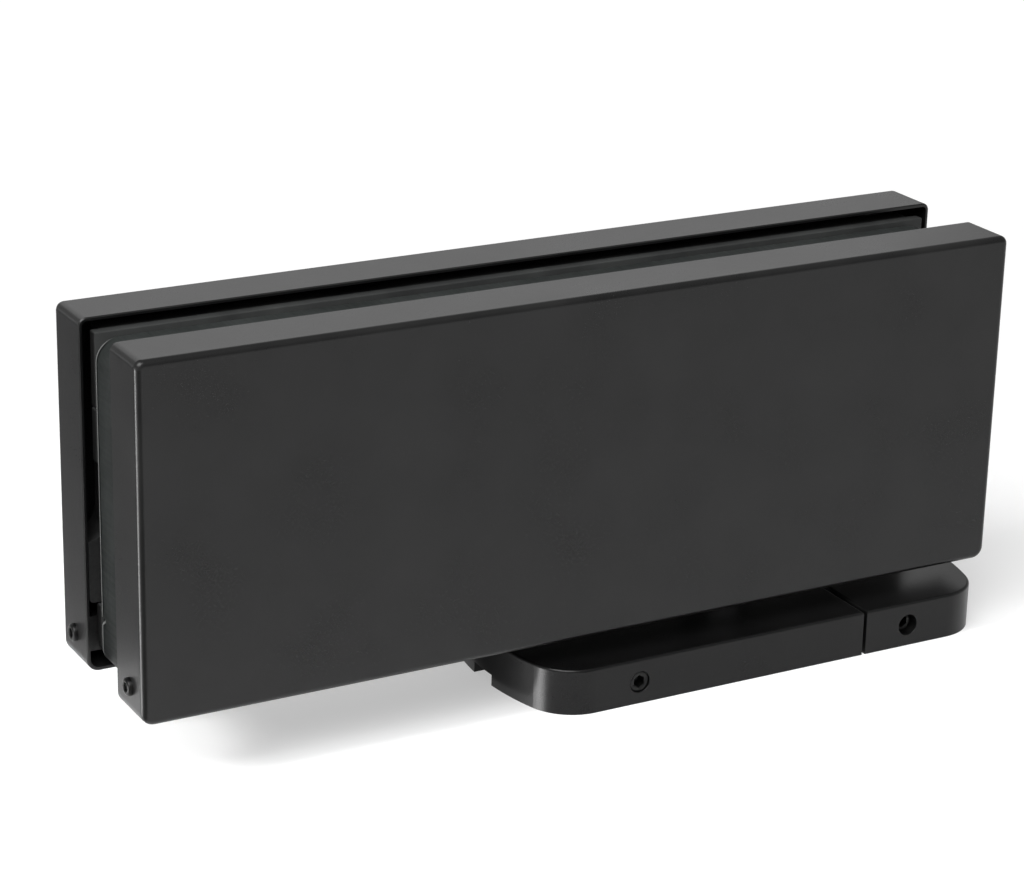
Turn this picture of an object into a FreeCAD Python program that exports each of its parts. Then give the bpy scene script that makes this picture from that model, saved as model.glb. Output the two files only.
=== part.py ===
import FreeCAD, Part
import math
import os

# Free swing patch hinge for the bottom corner of a frameless glass door.
# The origin is on the pivot axis at floor level: X along the door towards the jamb, Y away from
# the viewer, Z up. Sizes are in millimetres.

# Covers
cover_length = 165.3
cover_height = 61.2
cover_depth = 10.7
cover_wall = 0.6
cover_edge_radius = 1.1
cover_head_radius = 1.4
cover_foot_radius = 2.2
cover_rim_chamfer = 0.2
rim_gap = 13.2
pivot_setback = 47.0
cover_floor_gap = 12.5

# Floor plate and end block
plate_length = 95.5
plate_width = 41.6
plate_height = 8.3
plate_corner_radius = 9.0
plate_end_bow_radius = 50.0
plate_edge_radius = 0.5
split_x = 18.7
split_gap = 0.7
pocket_floor = 3.0
pocket_clearance = 1.5
pocket_end_clearance = 1.0
lip_thickness = 2.05
throat_clearance = 1.3
pry_notch_width = 6.3
pry_notch_height = 2.0
pry_notch_depth = 3.5

# Floor fixings
fixing_spacing = 79.0
fixing_hole_radius = 2.75
fixing_sink_radius = 4.8

# Dowels between floor plate and end block
dowel_radius = 1.5
dowel_adjuster_gap = 2.1
dowel_y = 14.5

# Shoe and its adjuster screws
shoe_length = 64.0
shoe_width = 16.0
shoe_end_radius = 2.0
adjuster_from_shoe_end = 3.8
adjuster_z = 4.0
adjuster_radius = 1.9
adjuster_tip_radius = 0.9
adjuster_tip_length = 2.0
adjuster_socket_across = 2.0
adjuster_socket_depth = 2.2
adjuster_recess_left = 0.25
adjuster_recess_right = 1.7
adjuster_rim_chamfer = 0.3
adjuster_hole_chamfer = 0.08
adjuster_play = 0.1

# Spindle
collar_radius = 6.2
collar_top = 15.5
spindle_top = 37.0
spindle_chamfer = 0.8

# Thrust bearing
thrust_height = 9.0
thrust_washer_thickness = 2.9
thrust_pitch_radius = 8.5
thrust_ball_radius = 2.3
thrust_ball_count = 10
thrust_cage_thickness = 1.4
thrust_cage_margin = 0.6
thrust_washer_rim = 1.2
shaft_washer_relief = 0.3
housing_washer_bore_play = 0.3

# Radial bearing
bearing_spacing = 3.0
radial_section = 6.0
radial_width = 6.0
radial_ring_wall = 1.6
radial_ball_radius = 1.55
radial_ball_count = 9
radial_cage_thickness = 4.4
radial_cage_width = 1.2

# Circlips, seal and cap
circlip_thickness = 1.0
circlip_groove_depth = 0.5
circlip_width = 2.4
circlip_opening = 50.0
seal_thickness = 0.8
cap_thickness = 3.0

# Clamp, housing and gaskets
clamp_thickness = 4.05
clamp_inset = 4.0
clamp_edge_inset = 2.5
gasket_thickness = 2.0
gasket_inset = 2.2
gasket_top_inset = 2.3
gasket_seam = 0.25
gasket_seam_height = 46.0
gasket_middle_bottom = 36.8
gasket_foot_top = 11.9
gasket_recess_depth = 4.3
gasket_toe_radius = 3.0
housing_half_length = 19.0
housing_foot_gap = 0.4
housing_top = 47.0
cover_room = 0.6
end_lug_bottom = 12.2
end_lug_top = 26.6
end_lug_end_gap = 0.15
end_lug_rim_gap = 0.1
end_lug_depth = 6.3
end_lug_corner_radius = 0.8
end_lug_hollow_radius = 3.6

# Clamp bolts
bolt_radius = 3.0
bolt_head_radius = 5.25
bolt_head_height = 3.6
bolt_socket_across = 4.0
bolt_socket_depth = 2.2
bolt_boss_radius = 6.0
bolt_x = 30.0
bolt_low_z = 22.0
bolt_high_z = 39.0

# Cover screws
cover_screw_radius = 1.5
cover_screw_length = 8.0
cover_screw_proud = 0.8
cover_screw_height = 5.2
cover_screw_socket_across = 1.5
cover_screw_socket_depth = 1.4
screw_lug_length = 9.0
screw_lug_height = 7.0
screw_lug_gap = 0.2
screw_lug_rim_gap = 2.6

# Glass packer
packer_thickness = 10.8
packer_inset = 2.15
packer_bottom = 2.0
packer_top = 58.0
packer_head_radius = 4.0
packer_foot_radius = 2.5
packer_arris = 0.4
packer_leg_width = 53.0
packer_seat_gap = 0.1
packer_nick_height = 9.6
packer_nick_width = 1.4
packer_nick_depth = 0.7
packer_nick_length = 2.0

# Fits
running_clearance = 0.05
seat_clearance = 0.03
screw_clearance = 0.05
slide_clearance = 0.05
pass_clearance = 0.4

# Places worked out from the sizes above
cover_right = pivot_setback
cover_left = pivot_setback - cover_length
cover_bottom = cover_floor_gap
cover_top = cover_bottom + cover_height
rim_y = rim_gap / 2
face_y = rim_y + cover_depth
cavity_y = face_y - cover_wall
glass_y = packer_thickness / 2 + slide_clearance
clamp_front_y = glass_y + gasket_thickness
clamp_back_y = clamp_front_y + clamp_thickness
casting_back_y = cavity_y - cover_room
clamp_left = cover_left + clamp_inset
clamp_right = cover_right - clamp_inset
clamp_bottom = cover_bottom + clamp_edge_inset
clamp_top = cover_top - clamp_edge_inset
gasket_top = cover_top - gasket_top_inset
gasket_bottom = cover_bottom + gasket_inset
gasket_left = cover_left + gasket_inset
gasket_right = cover_right - gasket_inset
middle_strip_bottom = cover_bottom + gasket_middle_bottom
packer_left = cover_left + packer_inset
packer_right = cover_right - packer_inset
notch_left = packer_left + packer_leg_width
notch_top = housing_top + packer_seat_gap
half_length = plate_length / 2
half_width = plate_width / 2
pocket_half_width = shoe_width / 2 + pocket_clearance
pocket_half_length = shoe_length / 2 + pocket_end_clearance
pocket_top = plate_height - lip_thickness
throat_half_width = collar_radius + throat_clearance
adjuster_x = shoe_length / 2 - adjuster_from_shoe_end
dowel_length = 2 * (adjuster_x - adjuster_radius - dowel_adjuster_gap - split_x)
shoe_bottom = pocket_floor + slide_clearance
shoe_top = pocket_top - 3 * slide_clearance
housing_bottom = cover_bottom + cover_wall + housing_foot_gap
thrust_top = collar_top + thrust_height
radial_bottom = thrust_top + bearing_spacing
radial_top = radial_bottom + radial_width
journal_radius = thrust_pitch_radius - thrust_ball_radius - thrust_washer_rim
thrust_outer_radius = thrust_pitch_radius + thrust_ball_radius + thrust_washer_rim
radial_outer_radius = journal_radius + radial_section
radial_inner_radius = journal_radius + radial_ring_wall
radial_race_radius = radial_outer_radius - radial_ring_wall
radial_pitch_radius = (radial_inner_radius + radial_race_radius) / 2
circlip_bottom = radial_top + running_clearance
cover_screw_y = (rim_y + face_y) / 2
cover_screw_z = cover_bottom + cover_screw_height
screw_lug_top = cover_screw_z + screw_lug_height / 2
screw_lug_y = rim_y + screw_lug_rim_gap
TOOL_OVERRUN = 5.0

X = FreeCAD.Vector(1, 0, 0)
Y = FreeCAD.Vector(0, 1, 0)
Z = FreeCAD.Vector(0, 0, 1)


def box(x, y, z):
    """Block between the two ends given for each axis."""
    corner = FreeCAD.Vector(min(x), min(y), min(z))
    return Part.makeBox(max(x) - min(x), max(y) - min(y), max(z) - min(z), corner)


def rod(radius, start, axis, length):
    """Cylinder from a start point along an axis."""
    return Part.makeCylinder(radius, length, FreeCAD.Vector(*start), axis)


def ring(inner, outer, bottom, top):
    """Flat ring about the pivot axis."""
    blank = rod(outer, (0, 0, bottom), Z, top - bottom)
    return blank.cut(rod(inner, (0, 0, bottom), Z, top - bottom))


def hexagon(across, start, axis, length):
    """Hexagonal bar of a given width across flats, from a start point along an axis."""
    side_turn = math.pi / 3
    corner_radius = across / 2 / math.cos(side_turn / 2)
    points = []
    for side in range(7):
        angle = side * side_turn
        points.append(FreeCAD.Vector(corner_radius * math.cos(angle), corner_radius * math.sin(angle), 0))
    bar = Part.Face(Part.makePolygon(points)).extrude(Z * length)
    bar.Placement = FreeCAD.Placement(FreeCAD.Vector(*start), FreeCAD.Rotation(Z, axis))
    return bar


def edges_where(shape, test):
    """Edges whose ends and middle all pass a test on their point."""
    chosen = []
    for edge in shape.Edges:
        middle = edge.valueAt((edge.FirstParameter + edge.LastParameter) / 2)
        points = [vertex.Point for vertex in edge.Vertexes] + [middle]
        if all(test(point) for point in points):
            chosen.append(edge)
    return chosen


def near(a, b):
    return abs(a - b) < 1e-4


def write(name, shape):
    shape.exportStep("parts/" + name + ".step")


# Floor plate
def plate_outline():
    """Outline with bowed ends that run into round corners, as one face at floor level."""
    bow_centre = plate_end_bow_radius - half_length
    reach = plate_end_bow_radius - plate_corner_radius
    corner_y = half_width - plate_corner_radius
    corner_x = math.sqrt(reach ** 2 - corner_y ** 2) - bow_centre
    meet_scale = plate_end_bow_radius / reach
    meet_x = (corner_x + bow_centre) * meet_scale - bow_centre
    meet_y = corner_y * meet_scale
    turn = (math.pi / 2 + math.atan2(meet_y - corner_y, meet_x - corner_x)) / 2
    mid_x = corner_x + plate_corner_radius * math.cos(turn)
    mid_y = corner_y + plate_corner_radius * math.sin(turn)

    def at(x, y):
        return FreeCAD.Vector(x, y, 0)

    edges = [
        Part.LineSegment(at(-corner_x, -half_width), at(corner_x, -half_width)),
        Part.Arc(at(corner_x, -half_width), at(mid_x, -mid_y), at(meet_x, -meet_y)),
        Part.Arc(at(meet_x, -meet_y), at(half_length, 0), at(meet_x, meet_y)),
        Part.Arc(at(meet_x, meet_y), at(mid_x, mid_y), at(corner_x, half_width)),
        Part.LineSegment(at(corner_x, half_width), at(-corner_x, half_width)),
        Part.Arc(at(-corner_x, half_width), at(-mid_x, mid_y), at(-meet_x, meet_y)),
        Part.Arc(at(-meet_x, meet_y), at(-half_length, 0), at(-meet_x, -meet_y)),
        Part.Arc(at(-meet_x, -meet_y), at(-mid_x, -mid_y), at(-corner_x, -half_width)),
    ]
    return Part.Face(Part.Wire([edge.toShape() for edge in edges]))


def plate_blank(x_from, x_to):
    """One part of the floor plate's outline, with its top edge rounded over."""
    slab = plate_outline().extrude(Z * plate_height)
    part = slab.common(box((x_from, x_to), (-half_width, half_width), (0, plate_height)))
    top_edges = edges_where(part, lambda p: near(p.z, plate_height))
    return part.makeFillet(plate_edge_radius, top_edges)


def fixing_hole(x):
    """Countersunk hole for a floor screw."""
    hole = rod(fixing_hole_radius, (x, 0, 0), Z, plate_height)
    sink_depth = fixing_sink_radius - fixing_hole_radius
    sink_start = FreeCAD.Vector(x, 0, plate_height - sink_depth)
    return hole.fuse(Part.makeCone(fixing_hole_radius, fixing_sink_radius, sink_depth, sink_start, Z))


def adjuster_hole(x, side):
    """Tapped hole from the plate's side into the pocket, with a broken edge."""
    inner = shoe_width / 2
    bore_radius = adjuster_radius + screw_clearance
    start = (x, side * inner, adjuster_z)
    bore = rod(bore_radius, start, Y * side, half_width - inner)
    mouth_start = FreeCAD.Vector(x, side * (half_width - adjuster_hole_chamfer), adjuster_z)
    mouth_radius = bore_radius + adjuster_hole_chamfer
    return bore.fuse(Part.makeCone(bore_radius, mouth_radius, adjuster_hole_chamfer, mouth_start, Y * side))


def shoe_pocket():
    """Room for the shoe under the lips, right through from the main part to the end block."""
    return box((-pocket_half_length, pocket_half_length), (-pocket_half_width, pocket_half_width),
               (pocket_floor, pocket_top))


def dowel_start():
    return split_x - dowel_length / 2


def dowel_holes():
    holes = []
    for side in (-1, 1):
        start = (dowel_start() - running_clearance, side * dowel_y, plate_height / 2)
        holes.append(rod(dowel_radius + seat_clearance, start, X, dowel_length + 2 * running_clearance))
    return holes


def floor_plate():
    plate = plate_blank(-half_length, split_x - split_gap / 2)
    throat = box((0, split_x), (-throat_half_width, throat_half_width), (pocket_floor, plate_height))
    throat_end = rod(throat_half_width, (0, 0, pocket_floor), Z, plate_height - pocket_floor)
    notch = box((-half_length, -half_length + pry_notch_depth), (-pry_notch_width / 2, pry_notch_width / 2),
                (0, pry_notch_height))
    cuts = [shoe_pocket(), throat, throat_end, notch, fixing_hole(-fixing_spacing / 2)]
    cuts += [adjuster_hole(-adjuster_x, side) for side in (-1, 1)]
    return plate.cut(cuts + dowel_holes())


def end_block():
    block = plate_blank(split_x + split_gap / 2, half_length)
    cuts = [shoe_pocket(), fixing_hole(fixing_spacing / 2)]
    cuts += [adjuster_hole(adjuster_x, side) for side in (-1, 1)]
    return block.cut(cuts + dowel_holes())


def end_block_dowels():
    pins = []
    for side in (-1, 1):
        pins.append(rod(dowel_radius, (dowel_start(), side * dowel_y, plate_height / 2), X, dowel_length))
    return Part.makeCompound(pins)


# Shoe, adjusters and spindle
def spindle_shoe():
    bar = box((-shoe_length / 2, shoe_length / 2), (-shoe_width / 2, shoe_width / 2), (shoe_bottom, shoe_top))
    corners = edges_where(bar, lambda p: near(abs(p.x), shoe_length / 2) and near(abs(p.y), shoe_width / 2))
    bar = bar.makeFillet(shoe_end_radius, corners)
    return bar.cut(rod(journal_radius, (0, 0, shoe_bottom), Z, shoe_top - shoe_bottom))


def adjuster(x, side, recess):
    """Socket set screw with a dog point that stops just short of the shoe's side."""
    tip_y = shoe_width / 2 + adjuster_play
    thread_y = tip_y + adjuster_tip_length
    head_y = half_width - recess
    point = rod(adjuster_tip_radius, (x, side * tip_y, adjuster_z), Y * side, adjuster_tip_length)
    thread = rod(adjuster_radius, (x, side * thread_y, adjuster_z), Y * side, head_y - thread_y)
    thread = thread.makeChamfer(adjuster_rim_chamfer, edges_where(thread, lambda p: near(abs(p.y), head_y)))
    socket = hexagon(adjuster_socket_across, (x, side * (head_y - adjuster_socket_depth), adjuster_z),
                     Y * side, adjuster_socket_depth)
    return point.fuse(thread).cut(socket).removeSplitter()


def spindle():
    """Turned spindle: spigot in the shoe, collar, journal for the bearings and a groove for the circlip."""
    radius = journal_radius - seat_clearance
    spigot = rod(radius, (0, 0, shoe_bottom), Z, shoe_top - shoe_bottom)
    collar = rod(collar_radius, (0, 0, shoe_top), Z, collar_top - shoe_top)
    journal = rod(radius, (0, 0, collar_top), Z, spindle_top - collar_top)
    rim = edges_where(journal, lambda p: near(p.z, spindle_top))
    journal = journal.makeChamfer(spindle_chamfer, rim)
    groove_top = circlip_bottom + circlip_thickness + running_clearance
    groove = ring(radius - circlip_groove_depth, collar_radius, circlip_bottom - running_clearance, groove_top)
    return spigot.fuse([collar, journal]).removeSplitter().cut(groove)


def circlip(inner, outer, bottom):
    """Snap ring with an open mouth."""
    whole = ring(inner, outer, bottom, bottom + circlip_thickness)
    reach = outer + TOOL_OVERRUN
    spread = reach * math.tan(math.radians(circlip_opening / 2))
    corners = [(0, 0), (reach, -spread), (reach, spread), (0, 0)]
    mouth = Part.makePolygon([FreeCAD.Vector(x, y, bottom) for x, y in corners])
    return whole.cut(Part.Face(mouth).extrude(Z * circlip_thickness))


def spindle_circlip():
    inner = journal_radius - seat_clearance - circlip_groove_depth + running_clearance
    return circlip(inner, inner + circlip_width, circlip_bottom)


# Thrust bearing
def thrust_centre_z():
    return collar_top + thrust_height / 2


def race(pitch_radius, ball_radius, centre_z):
    """Groove that the balls run in."""
    return Part.makeTorus(pitch_radius, ball_radius + running_clearance, FreeCAD.Vector(0, 0, centre_z), Z)


def balls(count, pitch_radius, ball_radius, centre_z):
    solids = []
    for index in range(count):
        angle = 2 * math.pi * index / count
        centre = FreeCAD.Vector(pitch_radius * math.cos(angle), pitch_radius * math.sin(angle), centre_z)
        solids.append(Part.makeSphere(ball_radius, centre))
    return solids


def thrust_shaft_washer():
    washer = ring(journal_radius, thrust_outer_radius - shaft_washer_relief, collar_top,
                  collar_top + thrust_washer_thickness)
    return washer.cut(race(thrust_pitch_radius, thrust_ball_radius, thrust_centre_z()))


def thrust_housing_washer():
    washer = ring(journal_radius + housing_washer_bore_play, thrust_outer_radius,
                  thrust_top - thrust_washer_thickness, thrust_top)
    return washer.cut(race(thrust_pitch_radius, thrust_ball_radius, thrust_centre_z()))


def thrust_balls():
    return Part.makeCompound(balls(thrust_ball_count, thrust_pitch_radius, thrust_ball_radius, thrust_centre_z()))


def thrust_cage():
    half = thrust_cage_thickness / 2
    outer = thrust_pitch_radius + thrust_ball_radius + thrust_cage_margin
    inner = thrust_pitch_radius - thrust_ball_radius - thrust_cage_margin
    cage = ring(inner, outer, thrust_centre_z() - half, thrust_centre_z() + half)
    return cage.cut(balls(thrust_ball_count, thrust_pitch_radius, thrust_ball_radius + running_clearance,
                          thrust_centre_z()))


# Radial bearing
def radial_centre_z():
    return radial_bottom + radial_width / 2


def radial_inner_ring():
    inner = ring(journal_radius, radial_inner_radius, radial_bottom, radial_top)
    return inner.cut(race(radial_pitch_radius, radial_ball_radius, radial_centre_z()))


def radial_outer_ring():
    outer = ring(radial_race_radius, radial_outer_radius, radial_bottom, radial_top)
    return outer.cut(race(radial_pitch_radius, radial_ball_radius, radial_centre_z()))


def radial_balls():
    return Part.makeCompound(balls(radial_ball_count, radial_pitch_radius, radial_ball_radius, radial_centre_z()))


def radial_cage():
    half = radial_cage_thickness / 2
    cage = ring(radial_pitch_radius - radial_cage_width / 2, radial_pitch_radius + radial_cage_width / 2,
                radial_centre_z() - half, radial_centre_z() + half)
    pockets = []
    for index in range(radial_ball_count):
        outward = FreeCAD.Rotation(Z, 360.0 * index / radial_ball_count).multVec(X)
        pockets.append(rod(radial_ball_radius + running_clearance, (0, 0, radial_centre_z()), outward,
                           radial_race_radius))
    return cage.cut(pockets)


# Clamp castings
def bolt_places():
    places = []
    for x in (-bolt_x, bolt_x):
        for z in (bolt_low_z, bolt_high_z):
            places.append((x, z))
    return places


def clamp_plate(side):
    """Flat clamp plate with lugs at both ends that the cover screws go into."""
    plate = box((clamp_left, clamp_right), (side * clamp_front_y, side * clamp_back_y), (clamp_bottom, clamp_top))
    lugs = []
    for end, inward in ((cover_left, 1), (cover_right, -1)):
        face = end + inward * (cover_wall + screw_lug_gap)
        lugs.append(box((face, face + inward * screw_lug_length), (side * screw_lug_y, side * casting_back_y),
                        (clamp_bottom, screw_lug_top)))
    return plate.fuse(lugs)


def cover_screw_holes(side):
    holes = []
    reach = cover_screw_length + screw_clearance
    for end, inward in ((cover_left, 1), (cover_right, -1)):
        start = (end - inward * cover_screw_proud, side * cover_screw_y, cover_screw_z)
        holes.append(rod(cover_screw_radius + screw_clearance, start, X * inward, reach))
    return holes


def pivot_bores():
    """Bores of the pivot housing, from the foot up: thrust bearing, spindle, radial bearing and cap."""
    thrust = rod(thrust_outer_radius + seat_clearance, (0, 0, housing_bottom), Z, thrust_top - housing_bottom)
    neck = rod(radial_race_radius, (0, 0, thrust_top), Z, bearing_spacing)
    radial = rod(radial_outer_radius + seat_clearance, (0, 0, radial_bottom), Z, housing_top - radial_bottom)
    groove_radius = radial_outer_radius + seat_clearance + circlip_groove_depth
    groove = rod(groove_radius, (0, 0, circlip_bottom - running_clearance), Z,
                 circlip_thickness + 2 * running_clearance)
    return [thrust, neck, radial, groove]


def end_lug():
    """End of the casting's lower web beside the slot, with a hollowed top corner."""
    bottom = cover_bottom + end_lug_bottom
    top = cover_bottom + end_lug_top
    front = rim_y + end_lug_rim_gap
    back = front + end_lug_depth
    left = cover_left + cover_wall + end_lug_end_gap
    lug = box((left, clamp_left), (front, back), (bottom, top))
    low_corner = edges_where(lug, lambda p: near(p.x, left) and near(p.z, bottom))
    lug = lug.makeFillet(end_lug_corner_radius, low_corner)
    root = box((clamp_left, clamp_left + screw_lug_length), (clamp_front_y, back), (bottom, top))
    hollow = rod(end_lug_hollow_radius, (left, front, top), Y, end_lug_depth)
    return lug.fuse(root).cut(hollow)


def main_body():
    body = clamp_plate(1)
    housing = box((-housing_half_length, housing_half_length), (-casting_back_y, casting_back_y),
                  (housing_bottom, housing_top))
    bosses = []
    for x, z in bolt_places():
        bosses.append(rod(bolt_boss_radius, (x, clamp_front_y, z), Y, casting_back_y - clamp_front_y))
    body = body.fuse([housing, end_lug()] + bosses)
    taps = []
    for x, z in bolt_places():
        taps.append(rod(bolt_radius + screw_clearance, (x, clamp_front_y, z), Y, casting_back_y - clamp_front_y))
    return body.cut(pivot_bores() + taps + cover_screw_holes(1)).removeSplitter()


def front_clamp_plate():
    plate = clamp_plate(-1)
    reach = housing_half_length + pass_clearance
    window = box((-reach, reach), (-casting_back_y, -clamp_front_y), (clamp_bottom, housing_top + pass_clearance))
    holes = []
    for x, z in bolt_places():
        holes.append(rod(bolt_radius + pass_clearance, (x, -clamp_back_y, z), Y, clamp_thickness))
    return plate.cut([window] + holes + cover_screw_holes(-1)).removeSplitter()


def clamp_bolts():
    """Low head socket screws from the front clamp plate into the bosses of the main body."""
    bolts = []
    for x, z in bolt_places():
        shank = rod(bolt_radius, (x, -clamp_back_y, z), Y, clamp_back_y + casting_back_y - running_clearance)
        head_y = -clamp_back_y - bolt_head_height
        head = rod(bolt_head_radius, (x, head_y, z), Y, bolt_head_height)
        socket = hexagon(bolt_socket_across, (x, head_y, z), Y, bolt_socket_depth)
        bolts.append(shank.fuse(head).cut(socket).removeSplitter())
    return Part.makeCompound(bolts)


# Small pieces of the pivot housing
def bearing_circlip():
    outer = radial_outer_radius + seat_clearance + circlip_groove_depth - running_clearance
    return circlip(outer - circlip_width, outer, circlip_bottom)


def housing_cap():
    return rod(radial_outer_radius, (0, 0, housing_top - cap_thickness), Z, cap_thickness)


def dust_seal():
    return ring(collar_radius + 2 * running_clearance, thrust_outer_radius, housing_bottom,
                housing_bottom + seal_thickness)


# Gaskets
def gasket(x, z, side):
    return box(x, (side * glass_y, side * clamp_front_y), z)


def gasket_top_strip(side):
    seam = cover_bottom + gasket_seam_height
    return gasket((gasket_left, gasket_right), (seam + gasket_seam / 2, gasket_top), side)


def gasket_middle_strip(side):
    seam = cover_bottom + gasket_seam_height
    return gasket((gasket_left, gasket_right), (middle_strip_bottom, seam - gasket_seam / 2), side)


def gasket_foot_strip(side):
    """Lower strip beside the housing, cut back at the end above its toe."""
    top = middle_strip_bottom - gasket_seam
    right = notch_left - gasket_seam
    toe_top = cover_bottom + gasket_foot_top
    leg = gasket((gasket_left + gasket_recess_depth, right), (gasket_bottom, top), side)
    toe = gasket((gasket_left, right), (gasket_bottom, toe_top), side)
    low_corner = edges_where(toe, lambda p: near(p.x, gasket_left) and near(p.z, gasket_bottom))
    toe = toe.makeFillet(gasket_toe_radius, low_corner)
    return leg.fuse(toe).removeSplitter()


# Glass packer
def glass_packer():
    """Sheet the size of the glass that it stands in for, with round corners and a notch for the housing."""
    bottom = cover_bottom + packer_bottom
    top = cover_bottom + packer_top
    half = packer_thickness / 2
    band = box((packer_left, packer_right), (-half, half), (notch_top, top))
    leg = box((packer_left, notch_left), (-half, half), (bottom, top))
    sheet = band.fuse(leg).removeSplitter()
    upper = edges_where(sheet, lambda p: near(p.z, top) and (near(p.x, packer_left) or near(p.x, packer_right)))
    sheet = sheet.makeFillet(packer_head_radius, upper)
    lower = edges_where(sheet, lambda p: (near(p.z, bottom) and (near(p.x, packer_left) or near(p.x, notch_left)))
                        or (near(p.z, notch_top) and near(p.x, packer_right)))
    sheet = sheet.makeFillet(packer_foot_radius, lower)
    arrises = edges_where(sheet, lambda p: near(abs(p.y), half))
    sheet = sheet.makeChamfer(packer_arris, arrises)
    return sheet.cut(packer_nick())


def packer_nick():
    """Small chip in the sheet's rear left edge."""
    z = cover_bottom + packer_nick_height
    y = packer_thickness / 2
    reach = packer_arris + packer_nick_depth
    points = [(packer_left, z - packer_nick_width / 2), (packer_left + reach, z),
              (packer_left, z + packer_nick_width / 2), (packer_left, z - packer_nick_width / 2)]
    chip = Part.makePolygon([FreeCAD.Vector(x, y - packer_nick_length, height) for x, height in points])
    return Part.Face(chip).extrude(Y * packer_nick_length)


# Covers
def cover_block(side, inset):
    """Block of the cover's form, set in from its outer faces, square only at the rim."""
    left = cover_left + inset
    right = cover_right - inset
    bottom = cover_bottom + inset
    top = cover_top - inset
    back = face_y - inset
    block = box((left, right), (side * rim_y, side * back), (bottom, top))
    for radius, height in ((cover_foot_radius, bottom), (cover_head_radius, top)):
        ends = edges_where(block, lambda p: near(p.z, height) and (near(p.x, left) or near(p.x, right)))
        block = block.makeFillet(radius - inset, ends)
    outline = edges_where(block, lambda p: near(abs(p.y), back))
    return block.makeFillet(cover_edge_radius - inset, outline)


def cover(side):
    """Thin box shell, open towards the glass, with rounded outer edges and a broken rim edge."""
    shell = cover_block(side, 0)
    rim = edges_where(shell, lambda p: near(abs(p.y), rim_y))
    shell = shell.makeChamfer(cover_rim_chamfer, rim)
    return shell.cut([cover_block(side, cover_wall)] + cover_screw_holes(side))


def cover_screws(side):
    """Socket set screws through the cover's end walls into the clamp's lugs."""
    screws = []
    for end, inward in ((cover_left, 1), (cover_right, -1)):
        start = (end - inward * cover_screw_proud, side * cover_screw_y, cover_screw_z)
        screw = rod(cover_screw_radius, start, X * inward, cover_screw_length)
        socket = hexagon(cover_screw_socket_across, start, X * inward, cover_screw_socket_depth)
        screws.append(screw.cut(socket))
    return Part.makeCompound(screws)


def build():
    os.makedirs("parts", exist_ok=True)
    write("floor_plate", floor_plate())
    write("end_block", end_block())
    write("end_block_dowels", end_block_dowels())
    write("spindle_shoe", spindle_shoe())
    write("spindle", spindle())
    write("spindle_circlip", spindle_circlip())
    write("thrust_shaft_washer", thrust_shaft_washer())
    write("thrust_housing_washer", thrust_housing_washer())
    write("thrust_balls", thrust_balls())
    write("thrust_cage", thrust_cage())
    write("radial_inner_ring", radial_inner_ring())
    write("radial_outer_ring", radial_outer_ring())
    write("radial_balls", radial_balls())
    write("radial_cage", radial_cage())
    write("main_body", main_body())
    write("front_clamp_plate", front_clamp_plate())
    write("clamp_bolts", clamp_bolts())
    write("bearing_circlip", bearing_circlip())
    write("housing_cap", housing_cap())
    write("dust_seal", dust_seal())
    for place, side in (("front", -1), ("rear", 1)):
        write(place + "_gasket_top", gasket_top_strip(side))
        write(place + "_gasket_middle", gasket_middle_strip(side))
        write(place + "_gasket_foot", gasket_foot_strip(side))
        write(place + "_cover", cover(side))
        write(place + "_cover_screws", cover_screws(side))
        write("adjuster_" + place + "_left", adjuster(-adjuster_x, side, adjuster_recess_left))
        write("adjuster_" + place + "_right", adjuster(adjuster_x, side, adjuster_recess_right))
    write("glass_packer", glass_packer())


build()
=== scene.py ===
import math
import bmesh
import bpy
from mathutils import Matrix, Vector


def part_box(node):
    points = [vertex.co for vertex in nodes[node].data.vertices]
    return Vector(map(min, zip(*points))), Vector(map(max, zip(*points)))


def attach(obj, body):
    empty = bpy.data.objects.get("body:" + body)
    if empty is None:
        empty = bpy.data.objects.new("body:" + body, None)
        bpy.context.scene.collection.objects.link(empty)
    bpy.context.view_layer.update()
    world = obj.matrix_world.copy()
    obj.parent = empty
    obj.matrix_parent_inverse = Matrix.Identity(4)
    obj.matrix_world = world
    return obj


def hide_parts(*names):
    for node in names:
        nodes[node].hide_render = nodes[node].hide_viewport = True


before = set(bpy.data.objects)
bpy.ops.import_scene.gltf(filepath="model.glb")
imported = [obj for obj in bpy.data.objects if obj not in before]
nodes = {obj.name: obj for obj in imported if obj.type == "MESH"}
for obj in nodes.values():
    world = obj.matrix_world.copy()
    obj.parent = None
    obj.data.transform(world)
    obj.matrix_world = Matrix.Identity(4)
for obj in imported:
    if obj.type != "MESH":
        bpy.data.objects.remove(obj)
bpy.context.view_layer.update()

scene = bpy.context.scene
scene.view_settings.view_transform = "Standard"

# The photographer's place: a long lens from the front left, a little above the covers.
# It looks at the front cover's face and is turned slightly about its own axis.
view_azimuth = math.radians(-29.25)
view_elevation = math.radians(20.05)
view_roll = math.radians(1.36)
view_distance = 0.499
view_target = Vector((-0.0526, -0.0173, 0.0508))
lens_length = 107.0
sensor_width = 36.0
nearest_seen = 0.01

towards_camera = Vector((math.sin(view_azimuth) * math.cos(view_elevation),
                         -math.cos(view_azimuth) * math.cos(view_elevation),
                         math.sin(view_elevation)))
level_right = (-towards_camera).cross(Vector((0, 0, 1))).normalized()
level_up = level_right.cross(-towards_camera)
rolled_right = level_right * math.cos(view_roll) + level_up * math.sin(view_roll)
rolled_up = level_up * math.cos(view_roll) - level_right * math.sin(view_roll)
camera_turn = Matrix((rolled_right, rolled_up, towards_camera)).transposed().to_4x4()

camera_data = bpy.data.cameras.new("camera")
camera_data.lens = lens_length
camera_data.sensor_width = sensor_width
camera_data.sensor_fit = "HORIZONTAL"
camera_data.clip_start = nearest_seen
camera = bpy.data.objects.new("camera", camera_data)
camera.matrix_world = Matrix.Translation(view_target + towards_camera * view_distance) @ camera_turn
scene.collection.objects.link(camera)
scene.camera = camera

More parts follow.
